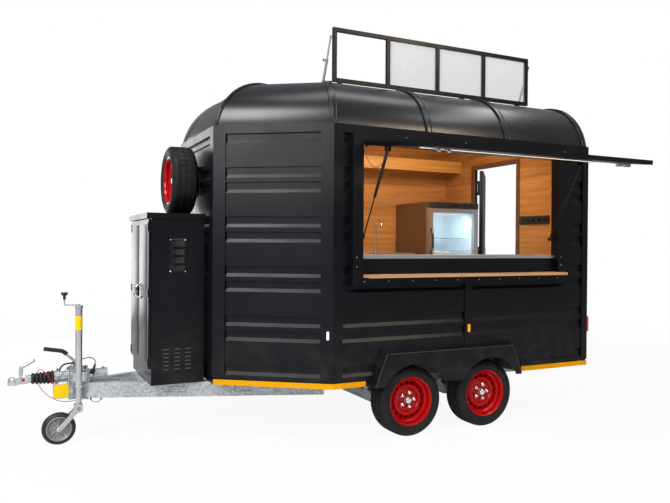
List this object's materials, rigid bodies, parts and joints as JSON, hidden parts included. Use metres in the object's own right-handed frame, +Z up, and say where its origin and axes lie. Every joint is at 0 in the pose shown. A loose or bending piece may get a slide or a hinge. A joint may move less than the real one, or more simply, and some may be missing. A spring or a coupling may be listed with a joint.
{
  "type": "food trailer",
  "caption": "Tandem-axle catering trailer with a serving hatch, counter, roof sign frame, gas cabinet and rear door, parked on its jockey wheel.",
  "frame": {"origin": "middle of the footprint, on the ground", "axes": "+X towards the rear, coupling towards -X; +Y away from the serving side; +Z up"},
  "size_m": [4.963, 3.0733, 3.141],
  "materials": {
    "body_panel": "satin",
    "body_trim": "satin",
    "roof_skin": "gloss",
    "stripe": "satin",
    "galvanised": "satin",
    "stainless": "satin",
    "red_enamel": "gloss",
    "tyre": "matte",
    "black_enamel": "satin",
    "red_lens": "gloss",
    "amber_lens": "gloss",
    "beech": "satin",
    "plywood_floor": "satin",
    "black_plastic": "matte",
    "black_rubber": "matte",
    "chrome": "polished",
    "laminate": "satin",
    "glass": "gloss",
    "zinc": "satin",
    "cable": "satin",
    "red_cable": "satin"
  },
  "bodies": {
    "trailer": {"back_bench": "laminate", "bellows": "black_rubber", "body_frame": "body_trim", "brake_lead": "cable", "breakaway_cable": "red_cable", "coupling_head": "zinc", "drawbar": "galvanised", "edge_stripe": "stripe", "far_wall": "body_panel", "fenders": "body_trim", "floor": "plywood_floor", "fridge_body": "stainless", "front_axle": "galvanised", "front_wall": "body_panel", "gas_cabinet": "body_trim", "handbrake_lever": "black_enamel", "jockey_tube": "zinc", "marker_lamps": "amber_lens", "overhead_box": "laminate", "overrun_housing": "zinc", "plug_lead": "cable", "rear_axle": "galvanised", "rear_wall": "body_panel", "roof": "roof_skin", "serving_counter": "stainless", "serving_wall": "body_panel", "shelf_board": "beech", "sign_feet": "black_enamel", "sink_basin": "stainless", "sink_tap": "chrome", "slanted_wall_far": "body_panel", "slanted_wall_near": "body_panel", "spare_carrier": "black_enamel", "spare_rim": "red_enamel", "spare_tyre": "tyre", "tail_lamps": "red_lens", "trailer_plug": "black_plastic", "window_frame": "body_trim"},
    "hatch": {"hatch_flap": "body_panel", "strip_light_lead": "cable"},
    "hatch_strut_barrels": {"strut_barrels": "black_enamel"},
    "hatch_strut_rods": {"strut_rods": "chrome"},
    "sign": {"sign_frame": "black_enamel"},
    "sign_tubes": {"sign_prop_tubes": "zinc"},
    "sign_rods": {"sign_prop_rods": "zinc"},
    "entry_door": {"rear_door": "body_panel"},
    "gas_door_near": {"cabinet_door_near": "body_trim"},
    "gas_door_far": {"cabinet_door_far": "body_trim"},
    "fridge_front": {"fridge_door": "stainless", "fridge_glass": "glass"},
    "jockey_caster": {"jockey_fork": "zinc"},
    "jockey_roller": {"jockey_wheel": "black_rubber"},
    "wheel_front_near": {"tyre_front_near": "tyre", "rim_front_near": "red_enamel"},
    "wheel_front_far": {"tyre_front_far": "tyre", "rim_front_far": "red_enamel"},
    "wheel_rear_near": {"tyre_rear_near": "tyre", "rim_rear_near": "red_enamel"},
    "wheel_rear_far": {"tyre_rear_far": "tyre", "rim_rear_far": "red_enamel"}
  },
  "joints": [
    {"name": "wheel_front_near_spin", "type": "hinge", "parent": "trailer", "child": "wheel_front_near", "pos_m": [0.24, -0.48, 0.265], "axis": [0, 1, 0], "continuous": true},
    {"name": "wheel_front_far_spin", "type": "hinge", "parent": "trailer", "child": "wheel_front_far", "pos_m": [0.24, 1.37, 0.265], "axis": [0, 1, 0], "continuous": true},
    {"name": "wheel_rear_near_spin", "type": "hinge", "parent": "trailer", "child": "wheel_rear_near", "pos_m": [0.932, -0.48, 0.265], "axis": [0, 1, 0], "continuous": true},
    {"name": "wheel_rear_far_spin", "type": "hinge", "parent": "trailer", "child": "wheel_rear_far", "pos_m": [0.932, 1.37, 0.265], "axis": [0, 1, 0], "continuous": true},
    {"name": "jockey_swivel", "type": "hinge", "parent": "trailer", "child": "jockey_caster", "pos_m": [-2.019, 0.324, 0.3], "axis": [0, 0, 1], "continuous": true},
    {"name": "jockey_spin", "type": "hinge", "parent": "jockey_caster", "child": "jockey_roller", "pos_m": [-2.151, 0.324, 0.114], "axis": [0, 1, 0], "continuous": true},
    {"name": "hatch_hinge", "type": "hinge", "parent": "trailer", "child": "hatch", "pos_m": [0.705, -0.621, 2.157], "axis": [1, 0, 0], "range_deg": [0, 82]},
    {"name": "hatch_strut_pivot", "type": "hinge", "parent": "hatch", "child": "hatch_strut_barrels", "pos_m": [0.705, -0.89794, 2.07971], "axis": [1, 0, 0], "range_deg": [-110.63, 2]},
    {"name": "hatch_strut_stroke", "type": "slide", "parent": "hatch_strut_barrels", "child": "hatch_strut_rods", "axis": [0, -0.4945, 0.8692], "range_m": [-0.002, 0.29779]},
    {"name": "sign_fold", "type": "hinge", "parent": "trailer", "child": "sign", "pos_m": [0.792, -0.052, 2.708], "axis": [1, 0, 0], "range_deg": [-90, 0]},
    {"name": "sign_prop_pivot", "type": "hinge", "parent": "trailer", "child": "sign_tubes", "pos_m": [0.792, 0.08, 2.722], "axis": [1, 0, 0], "range_deg": [-114.88, 2]},
    {"name": "sign_prop_stroke", "type": "slide", "parent": "sign_tubes", "child": "sign_rods", "axis": [0, -0.393, 0.9196], "range_m": [-0.15009, 0.002]},
    {"name": "rear_door_hinge", "type": "hinge", "parent": "trailer", "child": "entry_door", "pos_m": [2.012, 0.921, 1.35], "axis": [0, 0, 1], "range_deg": [-139, 26]},
    {"name": "gas_door_near_hinge", "type": "hinge", "parent": "trailer", "child": "gas_door_near", "pos_m": [-1.566, 0.056, 1.075], "axis": [0, 0, 1], "range_deg": [0, 110]},
    {"name": "gas_door_far_hinge", "type": "hinge", "parent": "trailer", "child": "gas_door_far", "pos_m": [-1.566, 0.834, 1.075], "axis": [0, 0, 1], "range_deg": [-110, 0]},
    {"name": "fridge_door_hinge", "type": "hinge", "parent": "trailer", "child": "fridge_front", "pos_m": [1.903, 0.813, 1.15], "axis": [0, 0, 1], "range_deg": [0, 85]}
  ],
  "couplings": [
    {"joint": "hatch_strut_pivot", "follows": "hatch_hinge", "ratio": -1.3248},
    {"joint": "hatch_strut_stroke", "follows": "hatch_hinge", "m_per_rad": 0.20668},
    {"joint": "sign_prop_pivot", "follows": "sign_fold", "ratio": 1.2543},
    {"joint": "sign_prop_stroke", "follows": "sign_fold", "m_per_rad": 0.094277}
  ]
}
